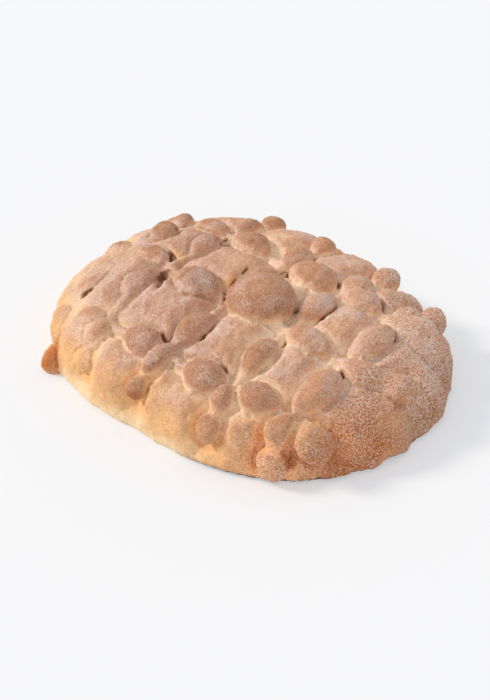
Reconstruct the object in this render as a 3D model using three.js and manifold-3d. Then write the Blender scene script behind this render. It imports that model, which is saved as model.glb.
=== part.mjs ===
// Pan de muerto: an oval loaf of sweet yeast bread. Knobbed ropes of the same dough lie over it in a
// lattice, five across it and three along it, with a round bun of dough near the middle. Baking has
// fused them all, so the bread is one solid. Units are millimetres, +Z is up and X runs along the loaf.
import * as THREE from "three";
import { mergeVertices } from "three/addons/utils/BufferGeometryUtils.js";
import Module from "manifold-3d";

const wasm = await Module();
wasm.setup();

// The loaf without its ropes. The foot is the rolled edge from the flat base up to the widest level.
const LOAF = { length: 294, width: 232, height: 59, footHeight: 6, footInset: 5 };
// Exponents of the skin: 2 would make an ellipse, more is squarer.
const OUTLINE_SQUARENESS = 2.3;
// Hand-shaped dough is uneven: each lobe swells the outline that many times round, by so many millimetres.
const OUTLINE_LOBES = [
  { count: 3, swell: 2, turn: -10 },
  { count: 4, swell: 1, turn: 30 },
  { count: 5, swell: 1.3, turn: 14 },
];
const CROWN_SQUARENESS = 2.9;
const SIDE_SQUARENESS = 2.6;
const CROWN_STEPS = 50;
const LOAF_DETAIL = 12;
const UNDERSIDE_DEPTH = 12; // how far the dough bellies below the base plane before it is cut flat

// The dough puffs up between the ropes, so each rope lies in a groove of the loaf. The grooves fade out
// towards the base, and are shallow at the loaf's flatter end.
const GROOVE = { depth: 9.5, halfWidth: 10, fadeFrom: 2, fadeTo: 18 };
const FLAT_END = { x: -105, fade: 70, depthShare: 0.4 };

// Ropes are rolled thin and pinched into knobs. A rope's middle is sunk in the loaf, its necks lie below
// the skin beside them, and its knobs rise above it.
const ROPE = { sink: 8, neckWidth: 10, neckRise: -4 };
const KNOB_TAPER = 0.8; // 1 rounds a knob off like a bead, less makes it blunter
const ROPE_SIDES = 12;
// Rings of a knob's skin, from one of its ends to the other, in halves of its length.
const KNOB_RINGS = [-1, -0.8, -0.4, 0, 0.4, 0.8, 1];
const RING_GAP = 2; // rings of two knobs that come nearer than this are one
const ARCH_STEPS = 180;

// Each rope is given by its place along the other axis. A knob is [distance along the rope from the
// loaf's middle line, shift aside, length, width, rise].
const CROSS_ROPES = [
  {
    place: -102,
    knobs: [
      [-119, 3, 24, 24, 10], [-92, 0, 28, 24, 0], [-50, -2, 38, 23, 1], [31, 2, 30, 25, 5],
      [63, -4, 26, 22, 4], [97, -6, 26, 22, 3], [124, -4, 24, 20, 3],
    ],
  },
  {
    place: -61,
    knobs: [
      [-115, -3, 22, 20, 0], [-89, -2, 27, 24, 1], [-35, -9, 36, 27, 3], [29, 1, 30, 25, 3],
      [73, 8, 28, 23, 4], [100, 13, 26, 23, 6], [128, 11, 24, 20, 3],
    ],
  },
  {
    place: -1,
    knobs: [
      [-114, -13, 21, 18, 2], [-88, -10, 30, 20, 2], [-54, -3, 34, 26, 4], [12, 1, 38, 23, 3],
      [56, 4, 34, 23, 3], [89, 7, 26, 22, 5], [127, 3, 24, 20, 2],
    ],
  },
  {
    place: 51,
    knobs: [
      [-114, -4, 26, 21, 4], [-91, -4, 24, 21, 3], [-51, -4, 36, 24, 4], [12, -2, 38, 23, 4],
      [55, 4, 32, 24, 3], [90, 11, 28, 23, 7], [127, 2, 24, 20, 2],
    ],
  },
  {
    place: 93,
    knobs: [
      [-113, -5, 29, 26, 3], [-86, -7, 28, 23, 3], [-50, 0, 42, 28, 5], [9, 3, 46, 27, 5],
      [55, 4, 32, 24, 2], [89, 12, 26, 23, 7], [124, 13, 24, 18, 2],
    ],
  },
];
const LONG_ROPES = [
  {
    place: -76,
    knobs: [
      [-115, 2, 26, 21, 2], [-81, 2, 30, 21, 1], [-28, -2, 34, 27, 4], [27, -5, 34, 29, 4],
      [66, 0, 32, 28, 4], [113, 4, 38, 33, 1],
    ],
  },
  {
    place: -16,
    knobs: [
      [-131, 20, 34, 27, 3], [-87, 16, 34, 21, 2], [-33, -1, 42, 36, 7], [22, 2, 40, 24, 4],
      [65, -4, 36, 28, 3], [109, -2, 36, 30, 2], [131, 9, 28, 29, 3],
    ],
  },
  {
    place: 45,
    knobs: [
      [-121, 10, 32, 23, 3], [-79, 11, 36, 24, 3], [-33, 4, 38, 31, 5], [27, -6, 40, 36, 7],
      [67, -3, 34, 26, 2], [115, -6, 56, 50, 2],
    ],
  },
];

// The round bun of dough near the middle.
const BUN = { x: 17, y: -7, width: 49, thickness: 34, rise: 14, sides: 24, rings: 16 };

const CRUST = { color: "#c39a7c", roughness: 0.75, metalness: 0 };

const X = new THREE.Vector3(1, 0, 0);
const Y = new THREE.Vector3(0, 1, 0);
const Z = new THREE.Vector3(0, 0, 1);
const MEAN_RADIUS = (LOAF.length + LOAF.width) / 4;
const MERGE_DISTANCE = 1e-4;
const SKIN_ACCURACY = 1e-3;
const { clamp, degToRad, lerp, smoothstep } = THREE.MathUtils;

function solidOf(geometry) {
  geometry.deleteAttribute("normal");
  geometry.deleteAttribute("uv");
  const merged = mergeVertices(geometry, MERGE_DISTANCE);
  const vertProperties = merged.attributes.position.array;
  const triVerts = new Uint32Array(merged.index.array);
  return new wasm.Manifold(new wasm.Mesh({ numProp: 3, vertProperties, triVerts }));
}

function geometryOf(solid) {
  const { vertProperties, triVerts } = solid.getMesh();
  return new THREE.BufferGeometry()
    .setAttribute("position", new THREE.BufferAttribute(vertProperties, 3))
    .setIndex(new THREE.BufferAttribute(triVerts, 1));
}

function moveVertices(geometry, place) {
  const position = geometry.attributes.position;
  const vertex = new THREE.Vector3();
  for (let i = 0; i < position.count; i++) {
    const moved = place(vertex.fromBufferAttribute(position, i));
    position.setXYZ(i, moved.x, moved.y, moved.z);
  }
  return geometry;
}

// Radius of the loaf's outline, seen from above, at an angle from X.
function outlineRadius(angle) {
  const alongX = Math.abs(Math.cos(angle) / (LOAF.length / 2)) ** OUTLINE_SQUARENESS;
  const alongY = Math.abs(Math.sin(angle) / (LOAF.width / 2)) ** OUTLINE_SQUARENESS;
  const oval = (alongX + alongY) ** (-1 / OUTLINE_SQUARENESS);
  const swellings = OUTLINE_LOBES.map((lobe) => {
    return lobe.swell * Math.cos(lobe.count * (angle - degToRad(lobe.turn)));
  });
  return swellings.reduce((radius, swelling) => radius + swelling, oval);
}

function isInLoaf(point) {
  const outward = Math.hypot(point.x, point.y) / outlineRadius(Math.atan2(point.y, point.x));
  const upward = Math.max(point.z - LOAF.footHeight, 0) / (LOAF.height - LOAF.footHeight);
  return outward ** CROWN_SQUARENESS + upward ** SIDE_SQUARENESS < 1;
}

// The spot where a ray from inside the loaf comes out of its smooth skin.
function skinSpot(from, direction) {
  let inside = 0;
  let outside = LOAF.length;
  while (outside - inside > SKIN_ACCURACY) {
    const reach = (inside + outside) / 2;
    if (isInLoaf(direction.clone().multiplyScalar(reach).add(from))) inside = reach;
    else outside = reach;
  }
  return direction.clone().multiplyScalar(inside).add(from);
}

// Half of the section through a loaf of the mean radius, from the crown down round the foot. It goes on
// under the base, where the base plane cuts it off.
function halfSection() {
  const crown = [];
  for (let i = 1; i <= CROWN_STEPS; i++) {
    const angle = (Math.PI / 2) * (1 - i / CROWN_STEPS);
    const outward = Math.cos(angle) ** (2 / CROWN_SQUARENESS);
    const upward = Math.max(Math.sin(angle), 0) ** (2 / SIDE_SQUARENESS);
    const height = lerp(LOAF.footHeight, LOAF.height, upward);
    crown.push(new THREE.Vector2(MEAN_RADIUS * outward, height));
  }
  return new THREE.Path()
    .moveTo(0, LOAF.height)
    .splineThru(crown)
    .quadraticCurveTo(MEAN_RADIUS, 0, MEAN_RADIUS - LOAF.footInset, 0)
    .lineTo(0, -UNDERSIDE_DEPTH);
}

// How far a rope strays aside, at a distance along it, eased from knob to knob.
function strayAside(rope, along) {
  const next = rope.knobs.findIndex(([at]) => at > along);
  if (next === 0) return rope.knobs[0][1];
  if (next < 0) return rope.knobs.at(-1)[1];
  const [at, aside] = rope.knobs[next - 1];
  const [nextAt, nextAside] = rope.knobs[next];
  return lerp(aside, nextAside, smoothstep(along, at, nextAt));
}

// Depth of the grooves that the ropes lie in, at a spot of the skin.
function grooveDepth(spot) {
  const offsets = [
    ...CROSS_ROPES.map((rope) => spot.x - rope.place - strayAside(rope, spot.y)),
    ...LONG_ROPES.map((rope) => spot.y - rope.place - strayAside(rope, spot.x)),
  ];
  const nearest = Math.min(...offsets.map(Math.abs));
  const dip = Math.exp(-((nearest / GROOVE.halfWidth) ** 2));
  const fade = smoothstep(spot.z, GROOVE.fadeFrom, GROOVE.fadeTo);
  const fromEnd = smoothstep(spot.x, FLAT_END.x, FLAT_END.x + FLAT_END.fade);
  return GROOVE.depth * lerp(FLAT_END.depthShare, 1, fromEnd) * dip * fade;
}

// The loaf starts as a ball of even triangles, whose poles go to the crown and the base.
function makeLoaf() {
  const section = halfSection();
  return moveVertices(new THREE.IcosahedronGeometry(1, LOAF_DETAIL), (vertex) => {
    const angle = Math.atan2(vertex.y, vertex.x);
    const share = Math.acos(clamp(vertex.z, -1, 1)) / Math.PI;
    const spot = section.getPoint(share);
    const run = section.getTangent(share);
    const aside = new THREE.Vector3(Math.cos(angle), Math.sin(angle), 0);
    const out = aside.clone().multiplyScalar(-run.y).addScaledVector(Z, run.x);
    const reach = (spot.x * outlineRadius(angle)) / MEAN_RADIUS;
    const skin = aside.multiplyScalar(reach).addScaledVector(Z, spot.y);
    return skin.addScaledVector(out, -grooveDepth(skin));
  });
}

// Half the width of a rope and its rise over the skin, at a distance along it.
function ropeSection(rope, along) {
  const first = rope.knobs[0][0];
  const last = rope.knobs.at(-1)[0];
  const isPastKnobs = along < first || along > last;
  const neck = isPastKnobs
    ? { halfWidth: 0, rise: -ROPE.sink }
    : { halfWidth: ROPE.neckWidth / 2, rise: ROPE.neckRise };
  return rope.knobs.reduce((widest, [at, , length, width, rise]) => {
    const share = Math.min(Math.abs(along - at) / (length / 2), 1);
    const isEnd = (at === first && along < at) || (at === last && along > at);
    const swell = isEnd ? Math.sqrt(1 - share ** 2) : Math.cos((share * Math.PI) / 2) ** KNOB_TAPER;
    const halfWidth = lerp(neck.halfWidth, width / 2, swell);
    if (halfWidth <= widest.halfWidth) return widest;
    return { halfWidth, rise: lerp(neck.rise, rise, swell) };
  }, neck);
}

// A rope rolled out straight along Y, turned from its outline.
function rollRope(rope) {
  const rings = rope.knobs
    .flatMap(([at, , length]) => KNOB_RINGS.map((share) => at + (share * length) / 2))
    .sort((a, b) => a - b)
    .filter((along, i, all) => i === 0 || along - all[i - 1] > RING_GAP);
  const outline = rings.map((along, i) => {
    const isTip = i === 0 || i === rings.length - 1;
    return new THREE.Vector2(isTip ? 0 : ropeSection(rope, along).halfWidth, along);
  });
  return new THREE.LatheGeometry(outline, ROPE_SIDES);
}

// Lays a straight rope over the loaf: run is the way it runs, and across the way its place is measured.
function layRope(rope, run, across) {
  const middle = across.clone().multiplyScalar(rope.place);
  const side = run.clone().cross(Z);
  const fan = [];
  for (let i = 0; i <= ARCH_STEPS; i++) {
    const angle = Math.PI * (1 - i / ARCH_STEPS);
    fan.push(run.clone().multiplyScalar(Math.cos(angle)).addScaledVector(Z, Math.sin(angle)));
  }
  const arch = new THREE.CatmullRomCurve3(fan.map((direction) => skinSpot(middle, direction)));
  const lengths = arch.getLengths(ARCH_STEPS);
  const spotAt = (along) => {
    const share = (along + lengths[ARCH_STEPS / 2]) / lengths[ARCH_STEPS];
    const spot = arch.getPointAt(clamp(share, 0, 1));
    const from = middle.clone().addScaledVector(across, strayAside(rope, along));
    return skinSpot(from, spot.sub(middle).normalize());
  };
  return moveVertices(rollRope(rope), (vertex) => {
    const ahead = spotAt(vertex.y + 1).sub(spotAt(vertex.y - 1));
    const up = side.clone().cross(ahead).normalize();
    const { halfWidth, rise } = ropeSection(rope, vertex.y);
    const slump = halfWidth > 0 ? (rise + ROPE.sink) / halfWidth : 1;
    return spotAt(vertex.y)
      .addScaledVector(side, vertex.x)
      .addScaledVector(up, vertex.z * slump - ROPE.sink);
  });
}

// A flattened ball that sits on the skin, part sunk in it.
function makeBun() {
  const top = skinSpot(new THREE.Vector3(BUN.x, BUN.y, 0), Z).z + BUN.rise;
  return new THREE.SphereGeometry(0.5, BUN.sides, BUN.rings)
    .rotateX(Math.PI / 2)
    .scale(BUN.width, BUN.width, BUN.thickness)
    .translate(BUN.x, BUN.y, top - BUN.thickness / 2);
}

const pieces = [
  ...LONG_ROPES.map((rope) => layRope(rope, X, Y)),
  ...CROSS_ROPES.map((rope) => layRope(rope, Y, X)),
  makeBun(),
];
const dough = pieces.reduce((solid, piece) => solid.add(solidOf(piece)), solidOf(makeLoaf()));
// The tray that it bakes on gives the bread its flat base.
const tray = new THREE.BoxGeometry(LOAF.length * 2, LOAF.width * 2, LOAF.height);
const bread = dough.subtract(solidOf(tray.translate(0, 0, -LOAF.height / 2)));
// Dough fills the pockets that ropes shut in, so only the outer skin stays.
const [skin] = bread.decompose().sort((a, b) => b.volume() - a.volume());

const geometry = geometryOf(skin);
geometry.computeBoundingBox();
const centre = geometry.boundingBox.getCenter(new THREE.Vector3());
geometry.translate(-centre.x, -centre.y, -geometry.boundingBox.min.z);
geometry.computeVertexNormals();

const loaf = new THREE.Mesh(geometry, new THREE.MeshStandardMaterial(CRUST));
loaf.name = "loaf";

const part = new THREE.Group();
part.add(loaf);

export default part;
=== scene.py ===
import math

import bmesh
import bpy
import numpy as np
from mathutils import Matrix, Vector, noise


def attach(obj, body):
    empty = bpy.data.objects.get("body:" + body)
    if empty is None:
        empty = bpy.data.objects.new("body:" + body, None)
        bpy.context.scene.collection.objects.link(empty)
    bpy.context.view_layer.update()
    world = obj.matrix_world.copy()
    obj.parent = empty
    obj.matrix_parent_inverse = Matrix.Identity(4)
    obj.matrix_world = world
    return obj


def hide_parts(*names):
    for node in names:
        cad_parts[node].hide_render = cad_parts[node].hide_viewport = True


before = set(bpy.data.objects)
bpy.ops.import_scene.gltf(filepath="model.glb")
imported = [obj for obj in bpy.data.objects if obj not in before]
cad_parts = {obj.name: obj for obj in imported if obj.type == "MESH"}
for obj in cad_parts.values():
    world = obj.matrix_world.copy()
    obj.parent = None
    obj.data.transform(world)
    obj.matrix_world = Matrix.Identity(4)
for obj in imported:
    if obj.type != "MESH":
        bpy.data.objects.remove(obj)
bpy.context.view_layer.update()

# A pan de muerto: a sugared sweet loaf with knobbed ropes and a bun of dough baked onto it. The crust
# follows the solid loaf, softened as risen dough is, and sugar crystals lie loose on it.
MM = 0.001

# Crust mesh. A reach is the length over which something is smoothed, and what is full counts as 1
SKIN_STEP = 0.85 * MM  # edge length of the crust's mesh while it is shaped
CRUST_FACES = 196000  # triangles it is thinned to afterwards, mostly where it is flat
TOUCHING = 0.01 * MM  # points nearer than this are one
PULL = 0.5  # how far one step of smoothing pulls a vertex to its neighbours
BASE_CUT = 0.8 * MM  # what is below this level becomes the flat base
BASE_SNAP = 0.05 * MM  # vertices this near to the cut lie on it
WELD_REACH = 0.9 * MM  # blends the lines where ropes meet the loaf
PIT_REACH = 5 * MM  # a pit is measured against the skin smoothed this far
PIT_DEPTH = 0.8 * MM  # and risen dough fills most of what is deeper than this
PIT_FILL = 0.8
SOFTEN_REACH = 2.5 * MM  # takes the solid's facets off and leaves the creases
SEAM_REACH = 1.2 * MM  # a seam, where ropes meet the loaf, is measured against the skin smoothed this far
SEAM_FULL = 0.2 * MM
SEAM_TUCKED = (0.15, 0.8)  # from this seam to this, the dough is tucked in
CREASE_REACH = 1.75 * MM  # a crease is measured against the skin smoothed this far
CREASE_FULL = 0.45 * MM
CREASE_KEPT = (0.1, 0.6)  # from this crease to this, it is kept from softening
CREASE_BLUR = 0.6 * MM  # evens out the measured seams and creases
CRISP_REACH = 3 * MM  # relief finer than this is made stronger
CRISP = 1.4
SWELL_REACH = 6.5 * MM  # a knob is measured against the skin smoothed this far
SWELL_FULL = 2.5 * MM
PUFF = 0.3  # knobs rise by this share more
FLAT_END = (-88 * MM, -108 * MM)  # from here to here along the loaf, it becomes smoother
FLAT_END_REACH = 5 * MM
TUCK = 1.5 * MM  # how deep a full seam is tucked in
FOLD_TUCK = 2.6 * MM  # and how much more where it is a gap
FINISH_REACH = 0.4 * MM  # evens out the tucked seams
UNDERCUT = 0.8 * MM  # how far the loaf's lower edge draws in
UNDERCUT_LEVEL = 2 * MM  # and below which level

# Gaps, where the rising dough left a crease open: a spot and a radius, in millimetres
FOLDS = [
    ((-56, 41), 5), ((-77, 4), 8), ((-101, -61), 9), ((-101, 47), 8),
    ((-19, 16), 9), ((-9, -12), 10), ((3, 31), 8), ((37, 45), 10), ((57, 17), 12), ((60, 4), 9),
    ((6, -55), 13), ((7, 67), 6), ((78, 49), 7), ((99, 21), 9), ((48, -32), 4),
    ((94, -29), 7), ((92, -57), 7), ((88, -84), 7), ((-20, -70), 6), ((31, -69), 7),
]

# Cracks in the skin and folds between knobs: two ends and half the width, in millimetres
CRACKS = [
    ((-52, -40, 55), (-69, -12, 48), 4.6),
    ((-104, -63, 41), (-101, -55, 44), 1.6),
    ((-97, 32, 51), (-88, 41, 49), 2.6),
    ((-51, 32, 54), (-59, 48, 49), 2.2),
    ((-80, 6, 51), (-69, 1, 51), 2),
    ((-15, 8, 57), (-17, 18, 57), 2),
    ((-8, -25, 54), (-16, 4, 57), 2.6),
    ((39, -6, 53), (36, 8, 56), 1.8),
    ((3, 29, 52), (4, 37, 52), 1.4),
    ((-1, -83, 45), (-4, -109, 29), 1.5),
    ((93, -86, 32), (92, -90, 26), 1.5),
    ((94, -85, 31), (99, -97, 9), 1.3),
    ((106, -89, 23), (113, -72, 13), 1.6),
    ((132, -27, 33), (131, -18, 34), 1.2),
]
CRACK_DEPTH = 1.2  # in half widths
CRACK_TIP = 0.05  # the least thickness toward its ends, squared, as a share of the middle's
OUTWARD_LOST = 0.9  # how much of the way out of the skin doesn't count in the way to a crack
SPOT_CORE = 0.3  # the share of a spot's radius that has all of its effect

# Unevenness of the baked skin: the size of a bump and its height
SKIN_BUMPS = [
    (24 * MM, 1.2 * MM),
    (9 * MM, 0.8 * MM),
    (4.2 * MM, 0.5 * MM),
    (2.1 * MM, 0.35 * MM),
]

# Where the crust's colours lie. A pair is where something starts and where it is full, as a level, as a
# place along one way over the loaf, or as a share such as a swelling. The oven's heat came from one
# side. The key light falls along another way, which sets the lit and shaded sides for painted light and
# shade, and sugar lies thicker toward that way's far end
HEAT_SIDE = np.array([math.cos(math.radians(5)), math.sin(math.radians(5)), 0])
SUGAR_AND_LIGHT_WAY = np.array([math.cos(math.radians(37)), math.sin(math.radians(37)), 0])
KNOB_SWELL = (0.1, 0.7)
KNOB_REACH = (-125 * MM, -95 * MM)  # the flat end has no brown knobs
TOP_SWELL = (0.6, 1.4)  # the tops of the knobs
EDGE_OUTSIDE = (-0.3, 0.1)  # a knob's edge, toward the loaf
EDGE_INSIDE = (0.6, 0.2)  # and toward the knob's top
LIT_FACING = (0.1, -0.5)  # skin that faces the key light, whose knob edges get a painted highlight
SHADED_FACING = (-0.1, 0.3)  # and skin that faces away from it, into shade, whose seams get painted shade
HIGH_LEVEL = (57 * MM, 66 * MM)  # the highest dough, which is scorched
CROWN_LEVEL = (35 * MM, 50 * MM)  # the far crown on the lit side, which is painted darker and greyer as shade
CROWN_REACH = (20 * MM, -45 * MM)
ENDWARD_REACH = (0, 60 * MM)  # the half of the loaf toward its sugared end
SUGARED_END = (70 * MM, 115 * MM)  # sugar lies thick here
LOW_END_LEVEL = (40 * MM, 15 * MM)  # low on that end, which is brown
FROSTED_END_LEVEL = (5 * MM, 25 * MM)  # the end is frosted further down than the rest
HEAT_REACH = (88 * MM, 116 * MM)  # the hot end, which is toasted
TOAST_LEVEL = (60 * MM, 18 * MM)
WARM_REACH = (40 * MM, 75 * MM)  # the orange side beside it
WARM_LEVEL = (44 * MM, 22 * MM)
GOLDEN_LEVEL = (48 * MM, 18 * MM)
GOLDEN_UNEVEN = 12 * MM  # how far patches shift the golden side's upper edge
PALE_EDGE_LEVEL = (16 * MM, 5 * MM)  # the lower edge away from the sugared end
PALE_EDGE_REACH = (-20 * MM, -60 * MM)
PALE_EDGE_UNEVEN = 4 * MM
CONTACT_SHADOW_LEVEL = (3.4 * MM, 2 * MM)  # painted contact shadow: a dark line where the loaf meets the floor
CONTACT_SHADOW_REACH = (20 * MM, 50 * MM)  # along the loaf's length
UNSCORCHED_LEVEL = (45 * MM, 15 * MM)  # scorching is weaker low down
DUST_FACING = (-0.1, 0.8)  # the upward part of the skin's normal
DUST_LEVEL = (26 * MM, 46 * MM)
SCORCHED_MOTTLE = (0.1, 0.6)  # the fine patches that are scorched spots on the knobs
# Painted shade: gaps, and seams on the side away from the key light, are coloured dark from this share to
# this
GAP_SHADE_SPAN = (0.15, 0.7)
SEAM_SHADE_SPAN = (0.7, 1)
SHUT_GAP = (0.1, 0.6)  # a gap lets in no sugar

# Toasted and golden spots: a spot and a radius, in millimetres
TOASTED_SPOTS = [
    ((-100, -101, 8), 18), ((-14, -111, 28), 8), ((-8, -24, 54), 6),
    ((97, -91, 18), 9), ((117, -69, 13), 10),
]
GOLDEN_SPOTS = [((76, -91, 30), 10), ((-16, -4, 55), 10), ((-71, 4, 51), 10)]

# Sizes of uneven patches of colour
BROAD_PATCH = 26 * MM
PATCH = 13 * MM
MOTTLE = 4.5 * MM
MOTTLE_PATCH = 0.5  # how much the patches move the scorched spots

# Pores and fine sugar. They really are 0.1 to 0.3 mm wide, and are drawn coarser so that they show
GRIT_SIZE = 1.2 * MM
GRIT_HEIGHT = 0.6 * MM

# How much each place on the loaf adds to its browning, scorching, dusting with sugar (part of which is a
# painted highlight and painted light) and grain
BROWNING = {"swell": 1, "endward": 0.25, "broad": 0.35, "patch": 0.4, "knob_mottle": 0.4}
BROWNED = (-0.75, 0.5)  # from this sum to this, the crust turns from pale to brown
SCORCHING = {"knob": 0.38, "knob_spots": 0.2, "top": 0.18, "high": 0.22}
DUSTING = {
    # the endward term is sugar, and part of it is painted light that lightens the top of the shaded side
    "all": 0.16, "brown": -0.14, "endward": 0.14, "end": 0.15, "broad": 0.25, "patch": 0.3,
    # the lit edges of knobs are frosted partly with sugar and partly as a painted highlight
    "lit_edge_sugar_and_highlight": 0.35, "crown": -0.04, "crown_knob": 0.12,
}
GRAINING = {"all": 0.52, "hot_or_sugared": 0.83}

# How strong a colour is at most, and how much of it is lost where something else takes its place
LOST_ON_KNOBS = {"crown_shade": 0.5, "golden": 0.75, "warmed": 0.75}
CROWN_SHADE_AMOUNT = 0.6
WARM = 0.9
TOAST = 0.9
TOAST_UNEVEN = 0.5  # how much the patches change it
# how dark the painted shade in gaps and seams is at most
GAP_SHADE_AMOUNT = 0.9
SEAM_SHADE_AMOUNT = 0.35
LOW_END_BROWN = 0.9
LOW_END_SCORCH = 0.5
SCORCH_LOST_LOW = 0.6
SCORCH_LOST_ENDWARD = 0.4
DUST_LOST_ON_TOAST = 0.6
GRAIN_LOST_ON_SPOTS = 0.5

# Sugar crystals, most of them toward the hot side and on skin that faces up
CRYSTAL_COUNT = 9000
CRYSTAL_REACH = (-60 * MM, 110 * MM)
CRYSTAL_LEAST = 0.15  # share of the crystals' density that is left on the cool side
CRYSTAL_FACING = (-0.1, 0.5)
CRYSTAL_SIZE = (0.25 * MM, 0.4 * MM)
COARSE_CRYSTAL_SIZE = (0.3 * MM, 0.6 * MM)  # on the toasted side
CRYSTAL_STRETCH = (0.7, 1.3)  # each side's length, in sizes
CRYSTAL_SINK = 0.3  # share of a crystal's size that is sunk in the crust
CRYSTAL_SEED = 7

# The photograph's view
VIEW_AZIMUTH = math.radians(37)
VIEW_ELEVATION = math.radians(38.7)
VIEW_DISTANCE = 810 * MM
VIEW_TARGET = Vector((-5.2, -1.7, 0)) * MM
VIEW_LENS = 57.4  # focal length in millimetres

# Light: a soft key light, a pale room that fills the shadows, and a floor that glows a little
KEY_ELEVATION = math.radians(35)
KEY_BEHIND = math.radians(10)  # the key light stands left of the loaf and this much behind it
KEY_WIDTH = math.radians(14)
KEY_STRENGTH = 1.88
KEY_COLOR = "#fff6ea"
FILL_STRENGTH = 0.78
FILL_COLOR = "#f3f8ff"
FLOOR_SIZE = 12000 * MM
FLOOR_COLOR = "#c2c2c3"
FLOOR_GLOW = 0.375

# The crust's colours: dough that stayed pale in the creases, and what is laid over it in this order, each by
# the share of the same name
CREASE_COLOR = "#ffe3be"
CRUST_LAYERS = {
    "browned": "#d99e74",
    # painted shade on the lit far crown
    "crown_shade": "#b5836a",
    "golden": "#eeb97b",
    "pale_edge": "#f8d6a8",
    "warmed": "#ffb378",
    "toasted": "#be6e32",
    "scorched": "#864f30",
    # painted shade in gaps and in seams on the shaded side
    "fold_shade": "#83461f",
    # painted contact shadow along the foot
    "contact_shadow": "#2e1a10",
}
FROSTING = "#e8d5c9"
PORE_COLOR = "#8a5230"
PORES = 1.1  # how strongly pores show, against grains of sugar
GRIT_RANGE = (0.3, 0.7)  # the grit's noise from the deepest pore to the whitest grain
CRYSTAL_COLOR = "#e0c6b4"

# Sockets of the colour mixing node
FACTOR, COLOR_A, COLOR_B, COLOR_MIXED = 0, 6, 7, 2


def linear(color):
    """An sRGB hex colour as linear RGBA."""
    shares = [int(color[i:i + 2], 16) / 255 for i in (1, 3, 5)]
    rgb = [s / 12.92 if s <= 0.04045 else ((s + 0.055) / 1.055) ** 2.4 for s in shares]
    return (*rgb, 1)


def add_node(tree, kind, inputs, **settings):
    """A node with its settings. Each input is a value, or the socket that feeds it."""
    node = tree.nodes.new(kind)
    for name, value in settings.items():
        setattr(node, name, value)
    for key, value in inputs.items():
        if isinstance(value, bpy.types.NodeSocket):
            tree.links.new(value, node.inputs[key])
        else:
            node.inputs[key].default_value = value
    return node


def new_material(name):
    """A material and its shader."""
    material = bpy.data.materials.new(name)
    material.use_nodes = True
    return material, material.node_tree.nodes["Principled BSDF"]


def new_object(name, data):
    """An object in the scene, made of a mesh, a light or a camera."""
    thing = bpy.data.objects.new(name, data)
    bpy.context.scene.collection.objects.link(thing)
    return thing


def modified(mesh, kind, **settings):
    """The mesh that a modifier makes of another, with its attributes."""
    thing = new_object("rough_loaf", mesh)
    modifier = thing.modifiers.new("change", kind)
    for name, value in settings.items():
        setattr(modifier, name, value)
    graph = bpy.context.evaluated_depsgraph_get()
    made = bpy.data.meshes.new_from_object(
        thing.evaluated_get(graph), preserve_all_data_layers=True, depsgraph=graph
    )
    bpy.data.objects.remove(thing)
    return made


def per_vertex(mesh, layer, key):
    """The vertices' places or normals."""
    values = np.empty(len(mesh.vertices) * 3, np.float32)
    getattr(mesh, layer).foreach_get(key, values)
    return values.reshape(-1, 3).astype(float)


def move_vertices(mesh, points):
    """Sets the vertices' places and gives their new normals."""
    mesh.vertices.foreach_set("co", points.astype(np.float32).ravel())
    mesh.update()
    return per_vertex(mesh, "vertex_normals", "vector")


def spread(values, edges, reach, pull=PULL):
    """Values of a mesh's vertices, smoothed over a reach by pulling each to the mean of its neighbours."""
    first, second = edges.T
    count = len(values)
    neighbours = np.bincount(edges.ravel(), minlength=count)
    for _ in range(round((2 * reach / SKIN_STEP) ** 2)):
        sums = [
            np.bincount(first, column[second], count) + np.bincount(second, column[first], count)
            for column in values.T
        ]
        values = values + (np.stack(sums, 1) / neighbours[:, None] - values) * pull
    return values


def smooth_share(values, start, full):
    """Shares from 0 where the values start to 1 where they are full, which may be the lower end."""
    share = np.clip((values - start) / (full - start), 0, 1)
    return share * share * (3 - 2 * share)


def remeshed(solid):
    """The solid's skin as an even mesh of small faces."""
    mesh = solid.data.copy()
    welded = bmesh.new()
    welded.from_mesh(mesh)
    bmesh.ops.remove_doubles(welded, verts=welded.verts, dist=TOUCHING)
    welded.to_mesh(mesh)
    welded.free()
    return modified(mesh, "REMESH", mode="VOXEL", voxel_size=SKIN_STEP)


def flatten_base(mesh):
    """Cuts the mesh off just above the ground, closes it with one face and sets that on the ground."""
    loaf = bmesh.new()
    loaf.from_mesh(mesh)
    parts = loaf.verts[:] + loaf.edges[:] + loaf.faces[:]
    cut = bmesh.ops.bisect_plane(
        loaf, geom=parts, dist=BASE_SNAP, plane_co=(0, 0, BASE_CUT), plane_no=(0, 0, 1), clear_inner=True
    )
    rim = [part for part in cut["geom_cut"] if isinstance(part, bmesh.types.BMEdge)]
    bmesh.ops.contextual_create(loaf, geom=rim)
    for vertex in {vertex for edge in rim for vertex in edge.verts}:
        vertex.co.z = 0
    bmesh.ops.recalc_face_normals(loaf, faces=loaf.faces)
    loaf.to_mesh(mesh)
    loaf.free()


def patches(points, size):
    """Uneven patches of a size, from about -1 to 1."""
    return np.array([noise.noise(Vector(point) / size) for point in points])


def near_spots(points, spots):
    """How near each point is to any of the spots, from 0 to 1 at the middle of one."""
    share = np.zeros(len(points))
    for spot, radius in spots:
        away = np.linalg.norm(points[:, :len(spot)] - np.array(spot) * MM, axis=1) / (radius * MM)
        share = np.maximum(share, smooth_share(away, 1, SPOT_CORE))
    return share


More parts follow.
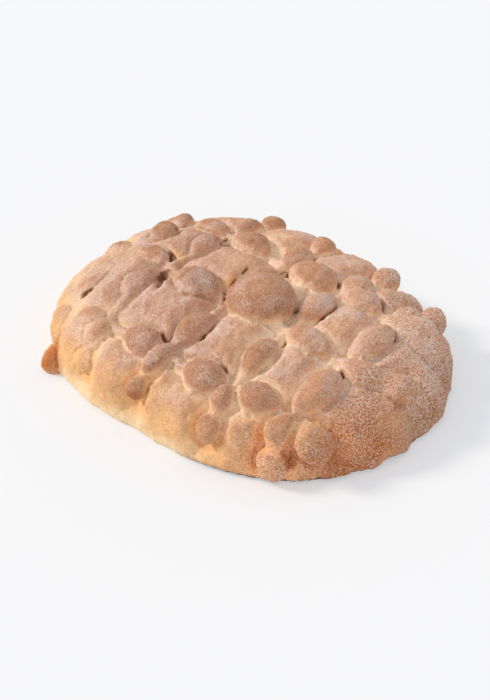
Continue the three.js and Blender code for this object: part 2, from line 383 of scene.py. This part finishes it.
def near_cracks(points, normals):
    """How far in a crack each point is, from 0 to 1 along its middle, and how deep. The way to a crack is
    measured mostly along the skin, since the skin bends away from the straight line between its ends."""
    share, depth = np.zeros((2, len(points)))
    for *ends, half_width in CRACKS:
        start, end = np.array(ends) * MM
        run = end - start
        along = np.clip((points - start) @ run / (run @ run), 0, 1)
        offset = points - start - along[:, None] * run
        outward = (offset * normals).sum(1)
        away = np.sqrt(np.clip((offset * offset).sum(1) - OUTWARD_LOST * outward * outward, 0, None))
        thin = np.sqrt(np.clip(4 * along * (1 - along), CRACK_TIP, 1))
        inside = smooth_share(away, half_width * MM, 0) * thin
        share = np.maximum(share, inside)
        depth = np.maximum(depth, inside * CRACK_DEPTH * half_width * MM)
    return share, depth


def crease_share(points, normals, edges, reach, full):
    """How far the dough is folded in, from 0, flat or swelling out, to 1."""
    depth = ((spread(points, edges, reach) - points) * normals).sum(1)
    return spread(np.clip(depth / full, 0, 1)[:, None], edges, CREASE_BLUR)[:, 0]


def shape_skin(mesh):
    """Softens the solid's skin as risen dough is, tucks its seams in and bakes it uneven. Gives the
    places and normals of its vertices, and how far each is in a seam, a gap or on a swelling."""
    edges = np.array([edge.vertices[:] for edge in mesh.edges])
    flat = per_vertex(mesh, "vertices", "co")
    on_base = flat[:, 2] < TOUCHING

    soft = spread(flat, edges, WELD_REACH)
    normals = move_vertices(mesh, soft)
    seam = crease_share(soft, normals, edges, SEAM_REACH, SEAM_FULL)

    # Pits are filled and smoothed, and then all but the creases is softened
    pit = ((spread(soft, edges, PIT_REACH) - soft) * normals).sum(1)
    fill = PIT_FILL * np.clip(pit - PIT_DEPTH, 0, None)[:, None]
    soft = spread(soft + normals * fill, edges, SOFTEN_REACH, PULL * smooth_share(fill, 0, PIT_DEPTH))
    soft[on_base] = flat[on_base]
    normals = move_vertices(mesh, soft)
    crease = crease_share(soft, normals, edges, CREASE_REACH, CREASE_FULL)
    soft = spread(soft, edges, SOFTEN_REACH, PULL * (1 - smooth_share(crease, *CREASE_KEPT))[:, None])

    # One end is made smoother, the relief crisper and the knobs puffier
    flat_end = smooth_share(soft @ SUGAR_AND_LIGHT_WAY, *FLAT_END)
    soft = spread(soft, edges, FLAT_END_REACH, PULL * flat_end[:, None])
    relief = ((soft - spread(soft, edges, CRISP_REACH)) * normals).sum(1)
    soft += normals * (CRISP * relief)[:, None]
    swell = ((soft - spread(soft, edges, SWELL_REACH)) * normals).sum(1)
    soft += normals * (PUFF * swell)[:, None]

    # Seams are tucked in, deeper where they are gaps
    seam = smooth_share(seam, *SEAM_TUCKED)
    gap = near_spots(soft, FOLDS) * seam
    soft -= normals * (TUCK * seam + FOLD_TUCK * gap)[:, None]
    soft = spread(soft, edges, FINISH_REACH)
    soft[on_base] = flat[on_base]
    normals = move_vertices(mesh, soft)

    # The skin gets its bumps and cracks, and the lower edge draws in
    crack, crack_depth = near_cracks(soft, normals)
    bumps = sum(height * patches(soft, size) for size, height in SKIN_BUMPS)
    rise = np.where(on_base, 0, bumps - crack_depth)
    soft = soft + normals * rise[:, None]
    soft[:, 2] = np.maximum(soft[:, 2], 0)
    inward = smooth_share(soft[:, 2], UNDERCUT_LEVEL, 0) * UNDERCUT
    soft[:, :2] *= (1 - inward / np.linalg.norm(soft[:, :2], axis=1).clip(UNDERCUT))[:, None]
    normals = move_vertices(mesh, soft)
    return soft, normals, seam, np.maximum(crack, gap), swell / SWELL_FULL


def crust_places(points, normals, swell):
    """Where on the loaf each vertex is: shares from 0 to 1, and uneven patches from about -1 to 1."""
    level = points[:, 2]
    along = points @ SUGAR_AND_LIGHT_WAY
    toward_heat = points @ HEAT_SIDE
    facing = normals @ SUGAR_AND_LIGHT_WAY
    broad, patch, mottle = (patches(points, size) for size in (BROAD_PATCH, PATCH, MOTTLE))
    knob = smooth_share(swell, *KNOB_SWELL) * smooth_share(along, *KNOB_REACH)
    edge = smooth_share(swell, *EDGE_OUTSIDE) * smooth_share(swell, *EDGE_INSIDE)
    crown = smooth_share(level, *CROWN_LEVEL) * smooth_share(along, *CROWN_REACH)
    end = smooth_share(along, *SUGARED_END)
    heat = smooth_share(toward_heat, *HEAT_REACH) * (1 - end)
    warm = smooth_share(toward_heat, *WARM_REACH) * smooth_share(level, *WARM_LEVEL) * (1 - end)
    return {
        "all": np.ones(len(points)),
        "swell": swell,
        "broad": broad,
        "patch": patch,
        "knob": knob,
        "knob_mottle": mottle * knob,
        "knob_spots": smooth_share(mottle + MOTTLE_PATCH * patch, *SCORCHED_MOTTLE) * knob,
        "top": smooth_share(swell, *TOP_SWELL),
        # a painted highlight, with some sugar, on knob edges that face the key light
        "lit_edge_sugar_and_highlight": edge * smooth_share(facing, *LIT_FACING),
        "shaded_side": smooth_share(facing, *SHADED_FACING),
        "high": smooth_share(level, *HIGH_LEVEL),
        "crown": crown,
        "crown_knob": crown * knob,
        "endward": smooth_share(along, *ENDWARD_REACH),
        "end": end,
        "low_end": end * smooth_share(level, *LOW_END_LEVEL),
        "heat": heat,
        "warm": warm,
        "hot_or_sugared": np.maximum.reduce([end, heat, warm]),
    }


def weighed(at, weights):
    """What the places add up to at each vertex, each by its weight."""
    return sum(weight * at[place] for place, weight in weights.items())


def crust_shares(points, normals, seam, gap, swell):
    """How much of each colour the crust shows at each vertex, from 0 to 1."""
    at = crust_places(points, normals, swell)
    level = points[:, 2]
    along = points @ SUGAR_AND_LIGHT_WAY
    patch, end = at["patch"], at["end"]
    left = {name: 1 - lost * at["knob"] for name, lost in LOST_ON_KNOBS.items()}

    at["brown"] = smooth_share(weighed(at, BROWNING), *BROWNED)
    at["brown"] = np.maximum(at["brown"], LOW_END_BROWN * at["low_end"])
    scorch = weighed(at, SCORCHING) * (1 - SCORCH_LOST_LOW * smooth_share(level, *UNSCORCHED_LEVEL))
    scorch *= 1 - SCORCH_LOST_ENDWARD * at["endward"]
    golden = smooth_share(level + GOLDEN_UNEVEN * patch, *GOLDEN_LEVEL) * (1 - end) * (1 - at["heat"])
    pale_edge = smooth_share(level + PALE_EDGE_UNEVEN * patch, *PALE_EDGE_LEVEL)
    toasted_spots = near_spots(points, TOASTED_SPOTS)
    toast = np.maximum(at["heat"] * smooth_share(level, *TOAST_LEVEL), toasted_spots)
    painted_gap_shade = smooth_share(gap, *GAP_SHADE_SPAN)
    painted_seam_shade = smooth_share(seam, *SEAM_SHADE_SPAN) * at["shaded_side"]
    open_air = 1 - smooth_share(gap, *SHUT_GAP)
    frosted_end = end * smooth_share(level, *FROSTED_END_LEVEL)
    held = smooth_share(normals[:, 2], *DUST_FACING)
    held *= np.maximum(smooth_share(level, *DUST_LEVEL), frosted_end)
    return {
        "browned": at["brown"],
        # painted shade that darkens the far crown on the lit side, less on its knobs
        "crown_shade": CROWN_SHADE_AMOUNT * at["crown"] * left["crown_shade"],
        "golden": np.maximum(golden * left["golden"], near_spots(points, GOLDEN_SPOTS)),
        "pale_edge": pale_edge * smooth_share(along, *PALE_EDGE_REACH),
        "warmed": WARM * at["warm"] * left["warmed"],
        "toasted": np.clip(toast * (TOAST + TOAST_UNEVEN * patch), 0, 1),
        "scorched": np.maximum(scorch, LOW_END_SCORCH * at["low_end"]),
        # painted shade in the gaps and on the shaded side of the seams
        "fold_shade": np.maximum(GAP_SHADE_AMOUNT * painted_gap_shade, SEAM_SHADE_AMOUNT * painted_seam_shade),
        # painted contact shadow at the foot, along part of the loaf's length
        "contact_shadow": smooth_share(level, *CONTACT_SHADOW_LEVEL) * smooth_share(points[:, 0], *CONTACT_SHADOW_REACH),
        # sugar, with a painted highlight on lit knob edges and painted light on the shaded side
        "dusted": np.clip(weighed(at, DUSTING) * held * (1 - DUST_LOST_ON_TOAST * toast) * open_air, 0, 1),
        "grained": weighed(at, GRAINING) * open_air * (1 - GRAIN_LOST_ON_SPOTS * toasted_spots),
    }


def make_crust():
    """The loaf's skin, shaped, coloured and thinned."""
    mesh = remeshed(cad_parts["loaf"])
    flatten_base(mesh)
    for name, share in crust_shares(*shape_skin(mesh)).items():
        layer = mesh.attributes.new(name, "FLOAT", "POINT")
        layer.data.foreach_set("value", share.astype(np.float32))
    mesh.calc_loop_triangles()
    mesh = modified(mesh, "DECIMATE", ratio=CRUST_FACES / len(mesh.loop_triangles))
    mesh.shade_smooth()
    mesh.materials.clear()
    mesh.materials.append(baked_crust())
    return new_object("crust", mesh)


def baked_crust():
    """Sweet dough, baked and dusted with sugar: brown and matte where it swells, pale and yellow in the
    creases where the heat came late, golden low on the sides, toasted on one, with a white frosting. Painted
    shade darkens its gaps, its seams on the shaded side, its lit far crown and its foot, and the frosting
    holds a painted highlight on lit knob edges."""
    material, shader = new_material("baked_sweet_dough")
    tree = material.node_tree
    place = add_node(tree, "ShaderNodeTexCoord", {}).outputs["Object"]
    grit = add_node(tree, "ShaderNodeTexNoise", {"Vector": place, "Scale": 1 / GRIT_SIZE, "Detail": 2})
    color = linear(CREASE_COLOR)
    for name, layer in CRUST_LAYERS.items():
        share = add_node(tree, "ShaderNodeAttribute", {}, attribute_name=name)
        colors = {FACTOR: share.outputs["Fac"], COLOR_A: color, COLOR_B: linear(layer)}
        color = add_node(tree, "ShaderNodeMix", colors, data_type="RGBA").outputs[COLOR_MIXED]

    # From -0.5 in a pore to 0.5 on a grain of sugar, weaker where the crust is less grained
    limits = {"Value": grit.outputs["Fac"], "From Min": GRIT_RANGE[0], "From Max": GRIT_RANGE[1]}
    grains = add_node(tree, "ShaderNodeMapRange", {**limits, "To Min": -0.5, "To Max": 0.5})
    grained = add_node(tree, "ShaderNodeAttribute", {}, attribute_name="grained")
    factors = {0: grains.outputs[0], 1: grained.outputs["Fac"]}
    grain = add_node(tree, "ShaderNodeMath", factors, operation="MULTIPLY")
    factors = {0: grain.outputs[0], 1: -PORES}
    pore = add_node(tree, "ShaderNodeMath", factors, operation="MULTIPLY", use_clamp=True)
    colors = {FACTOR: pore.outputs[0], COLOR_A: color, COLOR_B: linear(PORE_COLOR)}
    color = add_node(tree, "ShaderNodeMix", colors, data_type="RGBA").outputs[COLOR_MIXED]

    dusted = add_node(tree, "ShaderNodeAttribute", {}, attribute_name="dusted")
    terms = {0: grain.outputs[0], 1: dusted.outputs["Fac"]}
    cover = add_node(tree, "ShaderNodeMath", terms, operation="ADD", use_clamp=True)
    colors = {FACTOR: cover.outputs[0], COLOR_A: color, COLOR_B: linear(FROSTING)}
    frosted = add_node(tree, "ShaderNodeMix", colors, data_type="RGBA")
    tree.links.new(frosted.outputs[COLOR_MIXED], shader.inputs["Base Color"])

    heights = {"Height": grit.outputs["Fac"], "Strength": 0.7, "Distance": GRIT_HEIGHT}
    relief = add_node(tree, "ShaderNodeBump", heights)
    tree.links.new(relief.outputs["Normal"], shader.inputs["Normal"])
    shader.inputs["Roughness"].default_value = 0.72
    shader.inputs["Specular IOR Level"].default_value = 0.3
    shader.inputs["Subsurface Weight"].default_value = 0.1
    shader.inputs["Subsurface Radius"].default_value = (1, 0.45, 0.2)
    shader.inputs["Subsurface Scale"].default_value = 1 * MM
    return material


def make_sugar(crust):
    """Crystals scattered over the crust, joined as one mesh."""
    rng = np.random.default_rng(CRYSTAL_SEED)
    mesh = crust.data
    mesh.calc_loop_triangles()
    corners = np.array([triangle.vertices[:] for triangle in mesh.loop_triangles])
    points = per_vertex(mesh, "vertices", "co")
    normals = per_vertex(mesh, "vertex_normals", "vector")
    a, b, c = (points[corners[:, i]] for i in range(3))
    area = np.linalg.norm(np.cross(b - a, c - a), axis=1)
    facing = normals[corners].mean(1)[:, 2]
    toward = smooth_share(a @ HEAT_SIDE, *CRYSTAL_REACH)
    density = CRYSTAL_LEAST + (1 - CRYSTAL_LEAST) * toward
    chance = area * smooth_share(facing, *CRYSTAL_FACING) * density
    picked = rng.choice(len(corners), CRYSTAL_COUNT, p=chance / chance.sum())
    weights = rng.dirichlet((1, 1, 1), CRYSTAL_COUNT)
    spots = (points[corners[picked]] * weights[..., None]).sum(1)
    outward = normals[corners[picked]].mean(1)

    cube = bmesh.new()
    bmesh.ops.create_cube(cube, size=1)
    cube_points = np.array([vertex.co[:] for vertex in cube.verts])
    cube_faces = np.array([[vertex.index for vertex in face.verts] for face in cube.faces])
    cube.free()

    toast = smooth_share(spots @ HEAT_SIDE, *HEAT_REACH)[:, None]
    fine = rng.uniform(*CRYSTAL_SIZE, (CRYSTAL_COUNT, 1))
    coarse = rng.uniform(*COARSE_CRYSTAL_SIZE, (CRYSTAL_COUNT, 1))
    stretch = rng.uniform(*CRYSTAL_STRETCH, (CRYSTAL_COUNT, 1, 3))
    sizes = (fine + (coarse - fine) * toast)[:, None] * stretch
    turns = np.linalg.qr(rng.normal(size=(CRYSTAL_COUNT, 3, 3)))[0]
    turns *= np.sign(np.linalg.det(turns))[:, None, None]
    lift = outward * sizes.mean(2) * (0.5 - CRYSTAL_SINK)
    placed = (cube_points * sizes) @ turns + (spots + lift)[:, None]
    faces = cube_faces + np.arange(CRYSTAL_COUNT)[:, None, None] * len(cube_points)

    grains = bpy.data.meshes.new("sugar_crystals")
    grains.from_pydata(placed.reshape(-1, 3).tolist(), [], faces.reshape(-1, 4).tolist())
    grains.update()
    grains.materials.append(sugar_crystal())
    return new_object("sugar_crystals", grains)


def sugar_crystal():
    """Granulated sugar: small clear crystals that look white, with bright faces."""
    material, shader = new_material("granulated_sugar")
    shader.inputs["Base Color"].default_value = linear(CRYSTAL_COLOR)
    shader.inputs["Roughness"].default_value = 0.35
    shader.inputs["IOR"].default_value = 1.55
    return material


def make_floor():
    """A plain pale floor of matte white paper, which glows a little so that shadows on it are faint."""
    mesh = bpy.data.meshes.new("floor")
    sheet = bmesh.new()
    bmesh.ops.create_grid(sheet, x_segments=1, y_segments=1, size=FLOOR_SIZE / 2)
    sheet.to_mesh(mesh)
    sheet.free()
    material, shader = new_material("white_paper_sweep")
    shader.inputs["Base Color"].default_value = linear(FLOOR_COLOR)
    shader.inputs["Roughness"].default_value = 0.9
    shader.inputs["Specular IOR Level"].default_value = 0
    shader.inputs["Emission Color"].default_value = linear("#ffffff")
    shader.inputs["Emission Strength"].default_value = FLOOR_GLOW
    mesh.materials.append(material)
    new_object("floor", mesh)


def make_light():
    """A soft key light from the left, and a pale room."""
    world = bpy.data.worlds.new("studio")
    world.use_nodes = True
    room = world.node_tree.nodes["Background"]
    room.inputs["Color"].default_value = linear(FILL_COLOR)
    room.inputs["Strength"].default_value = FILL_STRENGTH
    bpy.context.scene.world = world
    key = bpy.data.lights.new("window_left", "SUN")
    key.energy = KEY_STRENGTH
    key.color = linear(KEY_COLOR)[:3]
    key.angle = KEY_WIDTH
    lamp = new_object("window_left", key)
    turn = VIEW_AZIMUTH + math.pi - KEY_BEHIND
    toward = Vector((
        math.cos(turn) * math.cos(KEY_ELEVATION),
        math.sin(turn) * math.cos(KEY_ELEVATION),
        math.sin(KEY_ELEVATION),
    ))
    lamp.rotation_euler = toward.to_track_quat("Z", "Y").to_euler()


def make_camera():
    """A camera at the photograph's viewing angle."""
    camera = new_object("camera", bpy.data.cameras.new("camera"))
    camera.data.lens = VIEW_LENS
    camera.data.clip_start = 10 * MM
    away = Vector((
        math.sin(VIEW_AZIMUTH) * math.cos(VIEW_ELEVATION),
        -math.cos(VIEW_AZIMUTH) * math.cos(VIEW_ELEVATION),
        math.sin(VIEW_ELEVATION),
    ))
    camera.location = VIEW_TARGET + away * VIEW_DISTANCE
    camera.rotation_euler = away.to_track_quat("Z", "Y").to_euler()
    bpy.context.scene.camera = camera


make_camera()
make_light()
make_floor()
bpy.context.scene.view_settings.view_transform = "Standard"

crust = make_crust()
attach(crust, "root")
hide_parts("loaf")

sugar = make_sugar(crust)
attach(sugar, "root")
